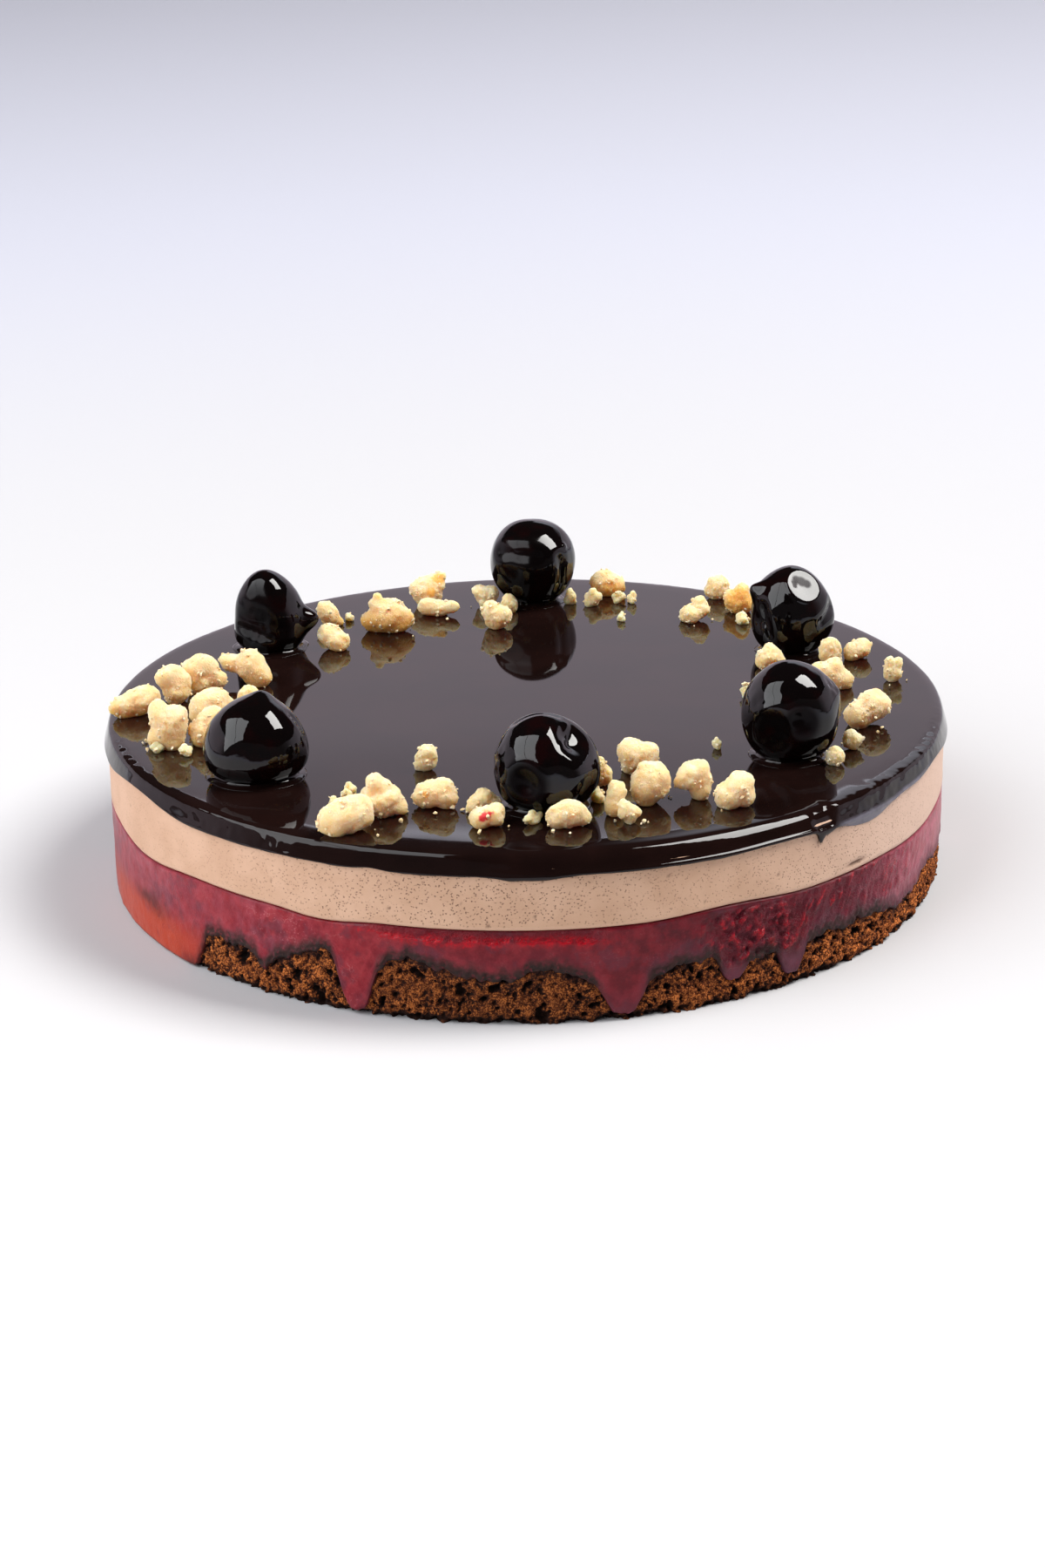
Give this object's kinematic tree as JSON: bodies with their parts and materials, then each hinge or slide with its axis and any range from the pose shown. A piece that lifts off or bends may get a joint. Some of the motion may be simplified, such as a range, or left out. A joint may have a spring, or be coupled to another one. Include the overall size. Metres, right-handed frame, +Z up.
{
  "type": "glazed cherry mousse cake",
  "caption": "Round uncut mousse cake: dark sponge under a red fruit filling, pale mousse and a glossy dark glaze, topped with whole glazed cherries and crumble, ready to serve.",
  "frame": {"origin": "middle of the cake's flat underside", "axes": "+Z up through the layers, -Y towards the front of the cake"},
  "size_m": [0.1818, 0.1818, 0.0565],
  "materials": {
    "sponge": "dark cocoa sponge, open and crumbly, dull",
    "filling": "set red fruit jelly, moist and softly glossy",
    "mousse": "light cocoa mousse, fine open pores, dull",
    "glaze": "near-black cocoa glaze with a mirror shine",
    "cherry": "near-black cherry skin, wet with syrup",
    "crumble": "pale baked butter crumble, grainy, toasted below"
  },
  "bodies": {
    "root": {"sponge": "sponge", "filling": "filling", "mousse": "mousse", "glaze": "glaze", "cherry_01": "cherry", "cherry_02": "cherry", "cherry_03": "cherry", "cherry_04": "cherry", "cherry_05": "cherry", "cherry_06": "cherry", "crumble_01": "crumble", "crumble_02": "crumble", "crumble_03": "crumble", "crumble_04": "crumble", "crumble_05": "crumble", "crumble_06": "crumble", "crumble_07": "crumble", "crumble_08": "crumble", "crumble_09": "crumble", "crumble_10": "crumble", "crumble_11": "crumble", "crumble_12": "crumble", "crumble_13": "crumble", "crumble_14": "crumble", "crumble_15": "crumble", "crumble_16": "crumble", "crumble_17": "crumble", "crumble_18": "crumble", "crumble_19": "crumble", "crumble_20": "crumble", "crumble_21": "crumble", "crumble_22": "crumble", "crumble_23": "crumble", "crumble_24": "crumble", "crumble_25": "crumble", "crumble_26": "crumble", "crumble_27": "crumble", "crumble_28": "crumble", "crumble_29": "crumble", "crumble_30": "crumble", "crumble_31": "crumble", "crumble_32": "crumble", "crumble_33": "crumble", "crumble_34": "crumble", "crumble_35": "crumble", "crumble_36": "crumble", "crumble_37": "crumble", "crumble_38": "crumble", "crumble_39": "crumble", "crumble_40": "crumble", "crumble_41": "crumble", "crumble_42": "crumble"}
  },
  "joints": []
}
